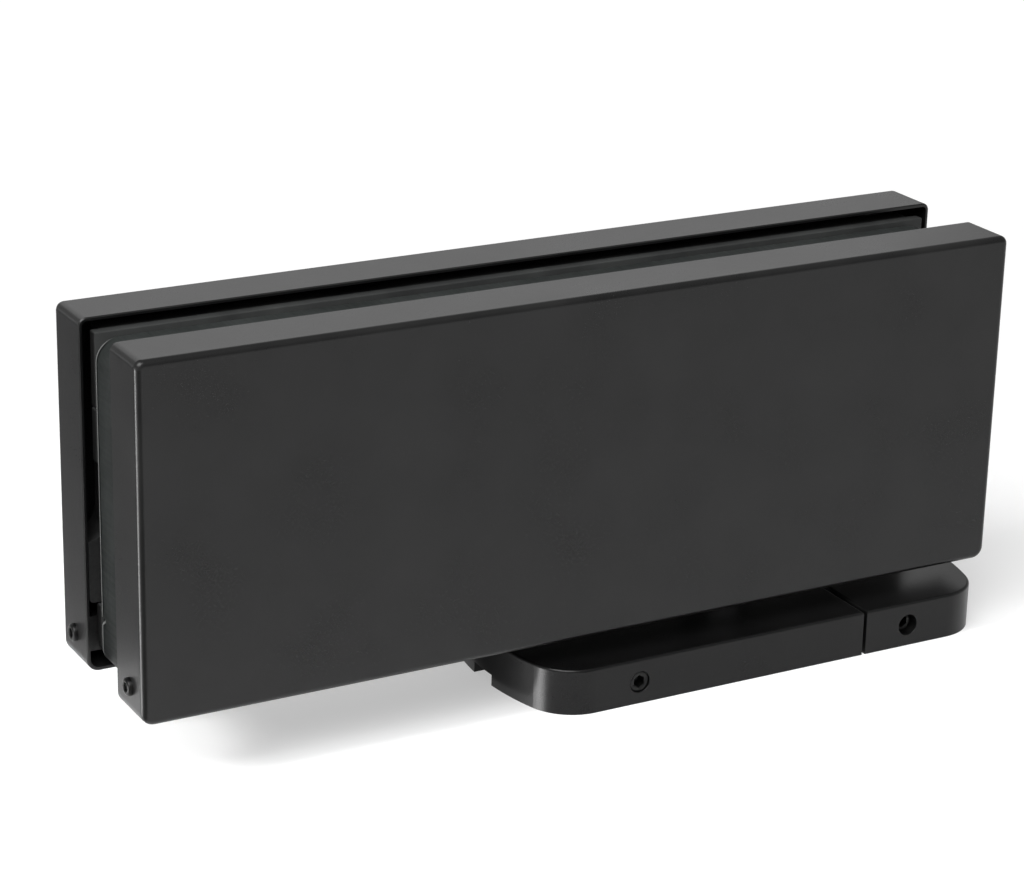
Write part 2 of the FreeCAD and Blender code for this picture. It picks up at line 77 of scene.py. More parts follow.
# The studio: a sheet of white paper on a table, wide enough to fill the view, in a pale grey room.
# The paper looks white by itself, with less glow near the hinge, where the lamps light it, and takes
# the hinge's soft shadow.
paper_size = 40.0
paper_glow_near = 0.435
paper_glow_far = 0.79
lamp_reach = 0.5
paper_colour = (0.54, 0.54, 0.54, 1.0)
room_colour = (1.0, 1.0, 1.0, 1.0)
room_light = 0.36


def feed(tree, node, inputs):
    """Sets a node's inputs, each to a value or by a link from another node's socket."""
    for key, value in inputs.items():
        if isinstance(value, bpy.types.NodeSocket):
            tree.links.new(value, node.inputs[key])
        else:
            node.inputs[key].default_value = value


def put(tree, kind, inputs=None, **settings):
    """Adds a node with its settings and inputs."""
    node = tree.nodes.new(kind)
    for key, value in settings.items():
        setattr(node, key, value)
    feed(tree, node, inputs or {})
    return node


def maths(tree, operation, *values):
    """The result of one operation on values or sockets."""
    return put(tree, "ShaderNodeMath", dict(enumerate(values)), operation=operation).outputs[0]


paper_mesh = bpy.data.meshes.new("paper")
work = bmesh.new()
bmesh.ops.create_grid(work, x_segments=1, y_segments=1, size=paper_size / 2)
work.to_mesh(paper_mesh)
work.free()
paper = bpy.data.objects.new("paper", paper_mesh)
scene.collection.objects.link(paper)

# The glow is only for rays that show the paper: from the camera, from gloss and through glass.
paper_material = bpy.data.materials.new("white_paper")
paper_material.use_nodes = True
paper_tree = paper_material.node_tree
paper_tree.nodes.clear()
paper_rays = put(paper_tree, "ShaderNodeLightPath").outputs
paper_in_view = maths(paper_tree, "MAXIMUM", paper_rays["Is Camera Ray"], paper_rays["Is Glossy Ray"])
paper_shown = maths(paper_tree, "MAXIMUM", paper_in_view, paper_rays["Is Transmission Ray"])
paper_place = put(paper_tree, "ShaderNodeTexCoord").outputs["Object"]
paper_away = put(paper_tree, "ShaderNodeVectorMath", {0: paper_place, 1: paper_place},
                 operation="DOT_PRODUCT").outputs["Value"]
paper_spread = maths(paper_tree, "MULTIPLY_ADD", paper_away, 1 / lamp_reach ** 2, 1.0)
paper_drop = maths(paper_tree, "DIVIDE", paper_glow_near - paper_glow_far, paper_spread)
paper_glow = maths(paper_tree, "ADD", paper_drop, paper_glow_far)
paper_strength = maths(paper_tree, "MULTIPLY", paper_shown, paper_glow)
paper_light = put(paper_tree, "ShaderNodeEmission", {"Strength": paper_strength})
paper_matt = put(paper_tree, "ShaderNodeBsdfDiffuse", {"Color": paper_colour})
paper_both = put(paper_tree, "ShaderNodeAddShader", {0: paper_light.outputs[0], 1: paper_matt.outputs[0]})
put(paper_tree, "ShaderNodeOutputMaterial", {"Surface": paper_both.outputs[0]})
paper_mesh.materials.append(paper_material)

world = bpy.data.worlds.new("studio")
world.use_nodes = True
feed(world.node_tree, world.node_tree.nodes["Background"], {"Color": room_colour, "Strength": room_light})
scene.world = world

# The lamps: a soft box high up at the front left, a wide one far behind the hinge for the covers' tops,
# a strip on the left, below the table's edge, whose reflection runs down the upright edges, and a narrow
# lamp, also on the left, that lights only the paper under the covers' free end.
hinge_middle = Vector((-0.035, 0.0, 0.035))
free_end_floor = Vector((-0.10, 0.0, 0.0))
fill_spread = math.radians(28)


def soft_box(name, place, target, width, height, watts):
    """Rectangular lamp that faces its target and isn't seen itself."""
    lamp_data = bpy.data.lights.new(name, "AREA")
    lamp_data.shape = "RECTANGLE"
    lamp_data.size = width
    lamp_data.size_y = height
    lamp_data.energy = watts
    lamp = bpy.data.objects.new(name, lamp_data)
    aim = target - Vector(place)
    lamp.matrix_world = Matrix.Translation(place) @ aim.to_track_quat("-Z", "Y").to_matrix().to_4x4()
    lamp.visible_camera = False
    scene.collection.objects.link(lamp)
    return lamp


def leave_out(lamp_list, piece):
    """Adds a piece to a lamp's list as one that the lamp passes by."""
    lamp_list.objects.link(piece)
    lamp_list.collection_objects[-1].light_linking.link_state = "EXCLUDE"


soft_box("front_box", place=(-0.52, -0.40, 0.84), target=hinge_middle, width=0.80, height=0.70, watts=12.2)
soft_box("rear_box", place=(0.20, 1.00, 0.60), target=hinge_middle, width=1.2, height=0.5, watts=1.62)
floor_fill = soft_box("floor_fill", place=(-0.56, -0.02, 0.34), target=free_end_floor, width=0.16,
                      height=0.16, watts=0.14)
floor_fill.data.spread = fill_spread
paper_only = bpy.data.collections.new("paper_only")
paper_only.objects.link(paper)
floor_fill.light_linking.receiver_collection = paper_only
left_strip = soft_box("left_strip", place=(-0.78, 0.11, -0.24), target=hinge_middle, width=0.30,
                      height=0.36, watts=5.3)
table_edge = bpy.data.collections.new("table_edge")
leave_out(table_edge, paper)
left_strip.light_linking.blocker_collection = table_edge
strip_shade = bpy.data.collections.new("strip_shade")
left_strip.light_linking.receiver_collection = strip_shade

# Dark cards: sheets of card that lie on the table behind, under and in front of the hinge's left end.
# Only gloss shows them: they darken the end walls and the rounded edges beside their bright lines.
card_black = (0.01, 0.01, 0.01, 1.0)
card_grey = (0.17, 0.17, 0.17, 1.0)
card_lift = 0.0004
for name, shade, outline in (
        ("rear_card", card_grey, ((-0.128, 0.038), (-0.155, 0.008), (-0.80, 0.40), (-0.22, 0.95))),
        ("under_card", card_black, ((-0.116, -0.012), (-0.049, -0.012), (-0.049, 0.05), (-0.116, 0.05))),
        ("front_card", card_black, ((-0.122, -0.015), (-0.13, -0.30), (-0.50, -0.42), (-0.62, 0.06)))):
    card_material = bpy.data.materials.new(name)
    card_material.use_nodes = True
    card_tree = card_material.node_tree
    feed(card_tree, card_tree.nodes["Principled BSDF"], {"Base Color": shade, "Specular IOR Level": 0.0})
    card_mesh = bpy.data.meshes.new(name)
    card_mesh.from_pydata([(x, y, card_lift) for x, y in outline], [], [range(len(outline))])
    card_mesh.materials.append(card_material)
    card = bpy.data.objects.new(name, card_mesh)
    card.visible_camera = False
    card.visible_diffuse = False
    card.visible_shadow = False
    scene.collection.objects.link(card)

# Floor plate and end block: two steel pieces with a split between them, bolted to the floor.
# Milled all over, edges broken, then powder coated satin black like the covers, in a darker copy of their
# coat: painted shade.
noise_low = 0.3
noise_high = 0.7
coat_smoothest = 0.26
coat_roughest = 0.34
coat_cloud_scale = 62.0
coat_peel_scale = 900.0
coat_grain_scale = 3800.0
coat_bump = 0.35
coat_peel_height = 0.00002
coat_grain_height = 0.00001
coat_flat_face = 0.98
coat_sharp_edge = 0.5
coat_edge_wear = 0.55
# The covers' coat at a little over half its brightness: painted shade for the plate, whose top lies under the
# covers.
plate_shaded_coat = ((0.0022, 0.0022, 0.0023, 1.0), (0.0050, 0.0050, 0.0051, 1.0), (0.0080, 0.0080, 0.0078, 1.0))
plate_sheen = 0.25


def new_finish(name):
    """A material with its tree, its shader and the outputs for a piece's own coordinates."""
    material = bpy.data.materials.new(name)
    material.use_nodes = True
    tree = material.node_tree
    return material, tree, tree.nodes["Principled BSDF"], put(tree, "ShaderNodeTexCoord").outputs


def noise(tree, place, scale, detail):
    """Cloudy pattern, whose values lie mostly between noise_low and noise_high."""
    return put(tree, "ShaderNodeTexNoise", {"Vector": place, "Scale": scale, "Detail": detail}).outputs["Fac"]


def rescale(tree, value, from_low, from_high, to_low, to_high):
    """Carries a value from one range over to another, and stops at its ends."""
    return put(tree, "ShaderNodeMapRange", {"Value": value, "From Min": from_low, "From Max": from_high,
                                            "To Min": to_low, "To Max": to_high}).outputs[0]


def shaded(tree, pattern, *stops):
    """Colour that follows a pattern through (position, colour) stops."""
    ramp = put(tree, "ShaderNodeValToRGB", {"Fac": pattern})
    for element, (position, colour) in zip(ramp.color_ramp.elements, stops):
        element.position = position
        element.color = colour
    for position, colour in stops[2:]:
        ramp.color_ramp.elements.new(position).color = colour
    return ramp.outputs["Color"]


def relief(tree, height, strength, distance, under=None):
    """Normals of a fine relief, which may lie on another one."""
    inputs = {"Height": height, "Strength": strength, "Distance": distance}
    if under is not None:
        inputs["Normal"] = under
    return put(tree, "ShaderNodeBump", inputs).outputs[0]


def powder_coat(name, shades, sheen, upright_edges_rub):
    """Satin black powder coat: cloudy colour and gloss, fine orange peel, and edges rubbed paler."""
    deep, cloudy, rubbed = shades
    material, tree, shader, place = new_finish(name)
    cloud = noise(tree, place["Object"], coat_cloud_scale, 5.0)
    peel = noise(tree, place["Object"], coat_peel_scale, 2.0)
    grain = noise(tree, place["Object"], coat_grain_scale, 2.0)
    squares = put(tree, "ShaderNodeVectorMath", {0: place["Normal"], 1: place["Normal"]},
                  operation="MULTIPLY").outputs[0]
    if upright_edges_rub:
        flatness = put(tree, "ShaderNodeVectorMath", {0: squares, 1: squares},
                       operation="DOT_PRODUCT").outputs["Value"]
    else:
        upward = put(tree, "ShaderNodeSeparateXYZ", {0: squares}).outputs["Z"]
        from_middle = maths(tree, "SUBTRACT", upward, 0.5)
        steep = maths(tree, "MULTIPLY", from_middle, from_middle)
        flatness = maths(tree, "MULTIPLY_ADD", steep, 2.0, 0.5)
    edge = rescale(tree, flatness, coat_flat_face, coat_sharp_edge, 0.0, coat_edge_wear)
    patchy = maths(tree, "MULTIPLY", edge, cloud)
    shade = maths(tree, "ADD", cloud, patchy)
    gloss = maths(tree, "ADD", cloud, grain)
    peel_relief = relief(tree, peel, coat_bump, coat_peel_height)
    feed(tree, shader, {
        "Base Color": shaded(tree, shade, (0.30, deep), (0.66, cloudy), (1.0, rubbed)),
        "Roughness": rescale(tree, gloss, 2 * noise_low, 2 * noise_high, coat_smoothest, coat_roughest),
        "Normal": relief(tree, grain, coat_bump, coat_grain_height, peel_relief),
        "Specular IOR Level": sheen})
    return material


def dress(names, material):
    """Gives CAD pieces, whose shape is right, their finish."""
    for name in names:
        nodes[name].data.materials.clear()
        nodes[name].data.materials.append(material)


dress(("floor_plate", "end_block"), powder_coat("plate_shaded_powder_coat", plate_shaded_coat, plate_sheen, False))

# Dowels: two ground steel pins, pressed half into each part of the plate so that they line up.
# Bright metal with fine rings left by the grinding wheel.
metal_stain_scale = 160.0
metal_smoother = 0.8
metal_rougher = 1.25
metal_bump = 0.25
metal_ring_height = 0.00002


def turned_metal(name, dark, light, ring_scale, roughness, along):
    """Metal finished on a lathe or grinder: fine rings across one axis, with slightly uneven gloss."""
    material, tree, shader, place = new_finish(name)
    rings = put(tree, "ShaderNodeTexWave", {"Vector": place["Object"], "Scale": ring_scale, "Distortion": 0.4,
                                            "Detail": 3.0, "Detail Scale": 2.0},
                wave_type="BANDS", bands_direction=along).outputs["Fac"]
    tone_mask = noise(tree, place["Object"], metal_stain_scale, 5.0)
    feed(tree, shader, {
        "Base Color": shaded(tree, tone_mask, (0.32, dark), (0.70, light)),
        "Roughness": rescale(tree, tone_mask, noise_low, noise_high, roughness * metal_smoother,
                             roughness * metal_rougher),
        "Normal": relief(tree, rings, metal_bump, metal_ring_height),
        "Metallic": 1.0})
    return material


bearing_steel = turned_metal("ground_steel", dark=(0.52, 0.52, 0.54, 1.0), light=(0.68, 0.68, 0.70, 1.0),
                             ring_scale=900.0, roughness=0.2, along="Z")
dress(("end_block_dowels",), bearing_steel)

# Adjusters: four socket set screws in the plate's sides that square up the shoe, blackened steel.
# Each is turned with a dog point, a threaded body and a chamfered rim round its hexagon socket.
screw_sides = 48
shading_angle = math.radians(32)
thread_depth_share = 0.45
thread_ridge_share = 0.36
thread_steps = 20
rim_rounding = 0.3
steel_mottle_scale = 700.0
steel_smoothest = 0.30
steel_roughest = 0.42
steel_bump = 0.1
steel_mottle_height = 0.000005


def turned_screw(name, stations, socket_across, socket_depth, socket_mouth):
    """Closed screw body along Z, with its socket end at the top, from (radius, height) stations."""
    hexagon = []
    for index in range(screw_sides):
        turn = (2 * math.pi * index / screw_sides + math.pi / 6) % (math.pi / 3) - math.pi / 6
        hexagon.append(socket_across / 2 / math.cos(turn))
    top = stations[-1][1]
    mouth_radius = socket_across / 2 / math.cos(math.pi / 6) + socket_mouth
    rings = [([radius] * screw_sides, height) for radius, height in stations]
    rings.append(([mouth_radius] * screw_sides, top))
    rings.append((hexagon, top - socket_mouth))
    rings.append((hexagon, top - socket_depth))
    work = bmesh.new()
    loops = []
    for radii, height in rings:
        loop = []
        for index, radius in enumerate(radii):
            angle = 2 * math.pi * index / screw_sides
            loop.append(work.verts.new((radius * math.cos(angle), radius * math.sin(angle), height)))
        loops.append(loop)
    for lower, upper in zip(loops, loops[1:]):
        for index in range(screw_sides):
            following = (index + 1) % screw_sides
            work.faces.new((lower[index], lower[following], upper[following], upper[index]))
    drill_point = top - socket_depth - socket_across / 4
    for loop, height, inside in ((loops[0], stations[0][1], False), (loops[-1], drill_point, True)):
        centre = work.verts.new((0.0, 0.0, height))
        for index in range(screw_sides):
            pair = (loop[index], loop[(index + 1) % screw_sides])
            work.faces.new((centre, pair[0], pair[1]) if inside else (centre, pair[1], pair[0]))
    bmesh.ops.recalc_face_normals(work, faces=work.faces)
    mesh = bpy.data.meshes.new(name)
    work.to_mesh(mesh)
    work.free()
    for face in mesh.polygons:
        face.use_smooth = True
    mesh.set_sharp_from_angle(angle=shading_angle)
    return bpy.data.objects.new(name, mesh)


def new_tree(name, inputs):
    """Geometry tree with named inputs and one geometry output."""
    tree = bpy.data.node_groups.new(name, "GeometryNodeTree")
    tree.interface.new_socket("Geometry", in_out="OUTPUT", socket_type="NodeSocketGeometry")
    for label, kind in inputs:
        tree.interface.new_socket(label, in_out="INPUT", socket_type="NodeSocket" + kind)
    return tree, put(tree, "NodeGroupInput").outputs


def end_tree(tree, copies, finish):
    """Turns a tree's copies into plain mesh, gives it its finish and hands it out."""
    real = put(tree, "GeometryNodeRealizeInstances", {"Geometry": copies})
    finished = put(tree, "GeometryNodeSetMaterial", {"Geometry": real.outputs[0], "Material": finish})
    put(tree, "NodeGroupOutput", {"Geometry": finished.outputs[0]})


def screw_set_tree():
    """Screws of one form in rows and columns, each with its thread wound round the body."""
    tree, given = new_tree("screw_set", (
        ("Form", "Object"), ("Thread Radius", "Float"), ("Thread Pitch", "Float"), ("Thread Length", "Float"),
        ("Thread Top", "Float"), ("Columns", "Int"), ("Rows", "Int"), ("Spacing X", "Float"),
        ("Spacing Z", "Float"), ("Middle", "Vector"), ("Turn", "Vector"), ("Turn Between", "Float"),
        ("Finish", "Material")))
    turns = maths(tree, "DIVIDE", given["Thread Length"], given["Thread Pitch"])
    helix = put(tree, "GeometryNodeCurveSpiral", {
        "Resolution": thread_steps, "Rotations": turns, "Start Radius": given["Thread Radius"],
        "End Radius": given["Thread Radius"], "Height": given["Thread Length"]})
    ridge_radius = maths(tree, "MULTIPLY", given["Thread Pitch"], thread_ridge_share)
    ridge = put(tree, "GeometryNodeCurvePrimitiveCircle", {"Resolution": 3, "Radius": ridge_radius})
    wound = put(tree, "GeometryNodeCurveToMesh", {
        "Curve": helix.outputs[0], "Profile Curve": ridge.outputs[0], "Fill Caps": True})
    drop = maths(tree, "SUBTRACT", given["Thread Top"], given["Thread Length"])
    lowered = put(tree, "ShaderNodeCombineXYZ", {"Z": drop})
    thread = put(tree, "GeometryNodeTransform", {
        "Geometry": wound.outputs[0], "Translation": lowered.outputs[0]})
    body = put(tree, "GeometryNodeObjectInfo", {"Object": given["Form"]})
    screw = put(tree, "GeometryNodeJoinGeometry")
    tree.links.new(body.outputs["Geometry"], screw.inputs[0])
    tree.links.new(thread.outputs[0], screw.inputs[0])
    turned = put(tree, "GeometryNodeTransform", {"Geometry": screw.outputs[0], "Rotation": given["Turn"]})
    grid = put(tree, "GeometryNodeMeshGrid", {
        "Size X": given["Spacing X"], "Size Y": given["Spacing Z"],
        "Vertices X": given["Columns"], "Vertices Y": given["Rows"]})
    standing = put(tree, "GeometryNodeTransform", {
        "Geometry": grid.outputs[0], "Translation": given["Middle"], "Rotation": (math.pi / 2, 0.0, 0.0)})
    order = put(tree, "GeometryNodeInputIndex")
    angle = maths(tree, "MULTIPLY", order.outputs[0], given["Turn Between"])
    facing = put(tree, "ShaderNodeCombineXYZ", {"Z": angle})
    placed = put(tree, "GeometryNodeInstanceOnPoints", {
        "Points": standing.outputs[0], "Instance": turned.outputs[0], "Rotation": facing.outputs[0]})
    end_tree(tree, placed.outputs[0], given["Finish"])
    return tree


def grow(name, tree, values):
    """Runs a tree with these inputs and returns what it makes as a plain mesh piece."""
    carrier = bpy.data.objects.new(name + "_carrier", bpy.data.meshes.new(name + "_carrier"))
    scene.collection.objects.link(carrier)
    modifier = carrier.modifiers.new("form", "NODES")
    modifier.node_group = tree
    for socket in tree.interface.items_tree:
        if socket.in_out == "INPUT":
            modifier[socket.identifier] = values[socket.name]
    evaluated = carrier.evaluated_get(bpy.context.evaluated_depsgraph_get())
    mesh = bpy.data.meshes.new_from_object(evaluated)
    bpy.data.objects.remove(carrier)
    piece = bpy.data.objects.new(name, mesh)
    scene.collection.objects.link(piece)
    return piece


def blackened_steel(name, dark, light):
    """Oil blackened screw steel: dark metal with a faintly mottled sheen."""
    material, tree, shader, place = new_finish(name)
    mottle = noise(tree, place["Object"], steel_mottle_scale, 4.0)
    feed(tree, shader, {
        "Base Color": shaded(tree, mottle, (0.35, dark), (0.70, light)),
        "Roughness": rescale(tree, mottle, noise_low, noise_high, steel_smoothest, steel_roughest),
        "Normal": relief(tree, mottle, steel_bump, steel_mottle_height),
        "Metallic": 0.85})
    return material


screw_black = blackened_steel("blackened_screw", dark=(0.014, 0.014, 0.0145, 1.0),
                              light=(0.032, 0.032, 0.031, 1.0))
screw_set = screw_set_tree()
adjuster_radius = 0.0019
adjuster_pitch = 0.0007
adjuster_core = adjuster_radius - thread_depth_share * adjuster_pitch
adjuster_point_radius = 0.0009
adjuster_point_end = adjuster_point_radius * 0.8
adjuster_point_bevel = 0.0002
adjuster_point_length = 0.002
adjuster_rim = 0.0003
adjuster_rim_foot = adjuster_rim * 1.4
adjuster_neck = adjuster_rim * 2
adjuster_round = adjuster_rim * rim_rounding
adjuster_socket_across = 0.002
adjuster_socket_depth = 0.0022
adjuster_socket_mouth = 0.00015
one_screw = {"Columns": 1, "Rows": 1, "Spacing X": 0.0, "Spacing Z": 0.0, "Turn Between": 0.0}

for place, front in (("front", True), ("rear", False)):
    for end in ("left", "right"):
        node = "adjuster_%s_%s" % (place, end)
        low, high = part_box(node)
        length = high.y - low.y
        body_bottom = adjuster_point_length - length
        form = turned_screw(node + "_form", (
            (adjuster_point_end, -length), (adjuster_point_radius, adjuster_point_bevel - length),
            (adjuster_point_radius, body_bottom), (adjuster_core, body_bottom + adjuster_rim),
            (adjuster_core, -adjuster_neck), (adjuster_radius, -adjuster_rim_foot),
            (adjuster_radius, -adjuster_rim), (adjuster_radius - adjuster_round, -adjuster_round),
            (adjuster_radius - adjuster_rim, 0.0)),
            adjuster_socket_across, adjuster_socket_depth, adjuster_socket_mouth)
        face_y = low.y if front else high.y
        piece = grow("set_screw_%s_%s" % (place, end), screw_set, dict(one_screw, **{
            "Form": form, "Thread Radius": adjuster_core, "Thread Pitch": adjuster_pitch,
            "Thread Length": length - adjuster_point_length - 2 * adjuster_neck, "Thread Top": -adjuster_neck,
            "Middle": ((low.x + high.x) / 2, face_y, (low.z + high.z) / 2),
            "Turn": (math.pi / 2 if front else -math.pi / 2, 0.0, 0.0), "Finish": screw_black}))
        bpy.data.objects.remove(form)
        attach(piece, node)
        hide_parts(node)

# Shoe and spindle: turned steel, the spindle pressed into the shoe, which slides under the plate's lips.
# The snap ring in the spindle's groove is blued spring steel and holds the bearings on.
spindle_steel = turned_metal("turned_steel", dark=(0.40, 0.40, 0.41, 1.0), light=(0.58, 0.58, 0.59, 1.0),
                             ring_scale=700.0, roughness=0.3, along="Z")
spring_steel = turned_metal("blued_spring_steel", dark=(0.10, 0.11, 0.14, 1.0), light=(0.20, 0.21, 0.24, 1.0),
                            ring_scale=500.0, roughness=0.32, along="X")
dress(("spindle_shoe", "spindle"), spindle_steel)
dress(("spindle_circlip",), spring_steel)

# Thrust and radial bearings: ground steel rings with polished balls in brass cages.
# The rings sit on the spindle and in the housing, and the balls roll in grooves between them.
thrust_ball_count = 10
radial_ball_count = 9
ball_fineness = 4
brass_tarnish_scale = 260.0
brass_tarnished = (0.42, 0.28, 0.10, 1.0)
brass_bright = (0.68, 0.51, 0.22, 1.0)
brass_smoothest = 0.26
brass_roughest = 0.42


def ball_ring_tree():
    """Balls spread evenly on a circle about the pivot axis."""
    tree, given = new_tree("ball_ring", (
        ("Count", "Int"), ("Circle Radius", "Float"), ("Ball Radius", "Float"), ("Middle", "Vector"),
        ("Finish", "Material")))
    circle = put(tree, "GeometryNodeMeshCircle", {
        "Vertices": given["Count"], "Radius": given["Circle Radius"]})
    ball = put(tree, "GeometryNodeMeshIcoSphere", {
        "Radius": given["Ball Radius"], "Subdivisions": ball_fineness})
    smooth = put(tree, "GeometryNodeSetShadeSmooth", {0: ball.outputs[0]})
    placed = put(tree, "GeometryNodeInstanceOnPoints", {
        "Points": circle.outputs[0], "Instance": smooth.outputs[0]})
    lifted = put(tree, "GeometryNodeTransform", {
        "Geometry": placed.outputs[0], "Translation": given["Middle"]})
    end_tree(tree, lifted.outputs[0], given["Finish"])
    return tree


def pressed_brass():
    """Stamped cage brass: warm metal, slightly tarnished in patches."""
    material, tree, shader, place = new_finish("pressed_brass")
    tarnish = noise(tree, place["Object"], brass_tarnish_scale, 5.0)
    feed(tree, shader, {
        "Base Color": shaded(tree, tarnish, (0.30, brass_tarnished), (0.65, brass_bright)),
        "Roughness": rescale(tree, tarnish, noise_low, noise_high, brass_roughest, brass_smoothest),
        "Metallic": 1.0})
    return material


dress(("thrust_shaft_washer", "thrust_housing_washer"), bearing_steel)
dress(("radial_inner_ring", "radial_outer_ring"), bearing_steel)
dress(("thrust_cage", "radial_cage"), pressed_brass())
ball_ring = ball_ring_tree()
for bearing, count in (("thrust", thrust_ball_count), ("radial", radial_ball_count)):
    low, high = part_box(bearing + "_balls")
    ball_radius = (high.z - low.z) / 2
    piece = grow(bearing + "_bearing_balls", ball_ring, {
        "Count": count, "Circle Radius": high.x - ball_radius, "Ball Radius": ball_radius,
        "Middle": (0.0, 0.0, (low.z + high.z) / 2), "Finish": bearing_steel})
    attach(piece, bearing + "_set")
    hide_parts(bearing + "_balls")

# Main body and front clamp plate: aluminium castings that grip the glass between them.
# Cast skin, dipped black, with the pivot housing bored in the main body and closed by a cap.
casting_sand_scale = 1500.0
casting_flow_scale = 90.0
casting_hollows = (0.010, 0.010, 0.0104, 1.0)
casting_high_spots = (0.025, 0.025, 0.0245, 1.0)
casting_smoothest = 0.46
casting_roughest = 0.62
casting_bump = 0.4
casting_sand_height = 0.00004


def black_casting():
    """Sand-textured casting under a thin black dip, paler on its high spots."""
    material, tree, shader, place = new_finish("black_casting")
    sand = noise(tree, place["Object"], casting_sand_scale, 5.0)
    flow = noise(tree, place["Object"], casting_flow_scale, 4.0)
    both = maths(tree, "MULTIPLY", sand, flow)
    feed(tree, shader, {
        "Base Color": shaded(tree, both, (0.15, casting_hollows), (0.42, casting_high_spots)),
        "Roughness": rescale(tree, flow, noise_low, noise_high, casting_smoothest, casting_roughest),
        "Normal": relief(tree, sand, casting_bump, casting_sand_height)})
    return material


dress(("main_body", "front_clamp_plate", "housing_cap"), black_casting())
leave_out(strip_shade, nodes["main_body"])

# Clamp bolts: four low head socket screws that pull the clamp plates together beside the housing.
# Blackened steel, from the front plate into bosses of the main body.
bolt_radius = 0.003
bolt_pitch = 0.001
bolt_core = bolt_radius - thread_depth_share * bolt_pitch
bolt_head_radius = 0.00525
bolt_head_height = 0.0036
bolt_edge = 0.0004
bolt_round = bolt_edge * rim_rounding
bolt_socket_across = 0.004
bolt_socket_depth = 0.0022
bolt_socket_mouth = 0.0002
bolt_thread_length = 0.0075
bolt_black = blackened_steel("blackened_bolt", dark=(0.04, 0.04, 0.041, 1.0),
                             light=(0.085, 0.084, 0.082, 1.0))

low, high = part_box("clamp_bolts")
bolt_length = high.y - low.y
bolt_thread_top = bolt_thread_length - bolt_length
bolt_form = turned_screw("clamp_bolt_form", (
    (bolt_core - bolt_edge, -bolt_length), (bolt_core, bolt_edge - bolt_length),
    (bolt_core, bolt_thread_top), (bolt_radius, bolt_thread_top + bolt_edge),
    (bolt_radius, -bolt_head_height), (bolt_head_radius - bolt_round, -bolt_head_height),
    (bolt_head_radius, bolt_round - bolt_head_height), (bolt_head_radius, -bolt_edge),
    (bolt_head_radius - bolt_round, -bolt_round), (bolt_head_radius - bolt_edge, 0.0)),
    bolt_socket_across, bolt_socket_depth, bolt_socket_mouth)
clamp_bolts = grow("clamp_bolt_set", screw_set, {
    "Form": bolt_form, "Thread Radius": bolt_core, "Thread Pitch": bolt_pitch,
    "Thread Length": bolt_thread_length - 2 * bolt_edge, "Thread Top": bolt_thread_top - bolt_edge,
    "Columns": 2, "Rows": 2, "Spacing X": high.x - low.x - 2 * bolt_head_radius,
    "Spacing Z": high.z - low.z - 2 * bolt_head_radius,
    "Middle": ((low.x + high.x) / 2, low.y, (low.z + high.z) / 2), "Turn": (math.pi / 2, 0.0, 0.0),
    "Turn Between": 0.0, "Finish": bolt_black})
bpy.data.objects.remove(bolt_form)
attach(clamp_bolts, "door_side")
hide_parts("clamp_bolts")

# Bearing snap ring and dust seal: the ring holds the radial bearing up in the housing, and the rubber
# lip seal closes the housing's foot round the spindle's collar.
rubber_bloom_scale = 120.0
rubber_grain_scale = 2600.0
rubber_gloss_spread = 0.06
rubber_bump = 0.3
rubber_grain_height = 0.00002


def soft_rubber(name, end_shade, dark, light, roughness, sheen):
    """Moulded rubber: dull, a cloudy bloom on the skin, faces turned along X in their own end shade, and a
    faint moulded grain.
    """
    material, tree, shader, place = new_finish(name)
    bloom = noise(tree, place["Object"], rubber_bloom_scale, 5.0)
    grain = noise(tree, place["Object"], rubber_grain_scale, 3.0)
    skin = shaded(tree, bloom, (0.30, dark), (0.70, light))
    endways = put(tree, "ShaderNodeSeparateXYZ", {0: place["Normal"]}).outputs["X"]
    end_shade_mask = maths(tree, "MULTIPLY", endways, endways)
    colour = put(tree, "ShaderNodeMixRGB", {"Fac": end_shade_mask, "Color1": skin, "Color2": end_shade})
    feed(tree, shader, {
        "Base Color": colour.outputs[0],
        "Roughness": rescale(tree, bloom, noise_low, noise_high, roughness - rubber_gloss_spread,
                             roughness + rubber_gloss_spread),
        "Normal": relief(tree, grain, rubber_bump, rubber_grain_height),
        "Specular IOR Level": sheen})
    return material


dress(("bearing_circlip",), spring_steel)
seal_rubber = soft_rubber("seal_rubber", end_shade=(0.018, 0.018, 0.018, 1.0), dark=(0.016, 0.016, 0.016, 1.0),
                          light=(0.030, 0.030, 0.030, 1.0), roughness=0.55, sheen=0.4)
dress(("dust_seal",), seal_rubber)

# Gaskets: three rubber strips on each clamp plate, cut from moulded sheet and stuck on.
# Their edges are soft, and narrow seams are left between the strips.
gasket_edge = 0.00022
sharp_turn = math.radians(35)
flat_turn = math.radians(1)
same_place = 0.000001


def softened(name, node, width, material):
    """The CAD piece with its sharp edges rounded off, which catch a line of light."""
    work = bmesh.new()
    work.from_mesh(nodes[node].data)
    bmesh.ops.remove_doubles(work, verts=work.verts, dist=same_place)
    bmesh.ops.dissolve_limit(work, angle_limit=flat_turn, verts=work.verts, edges=work.edges)
    sharp = [edge for edge in work.edges if len(edge.link_faces) == 2 and edge.calc_face_angle() > sharp_turn]
    bmesh.ops.bevel(work, geom=sharp, offset=width, offset_type="OFFSET", segments=3, profile=0.5,
                    affect="EDGES", clamp_overlap=True)
    mesh = bpy.data.meshes.new(name)
    work.to_mesh(mesh)
    work.free()
    for face in mesh.polygons:
        face.use_smooth = True
    mesh.set_sharp_from_angle(angle=sharp_turn)
    mesh.materials.append(material)
    piece = bpy.data.objects.new(name, mesh)
    scene.collection.objects.link(piece)
    return piece
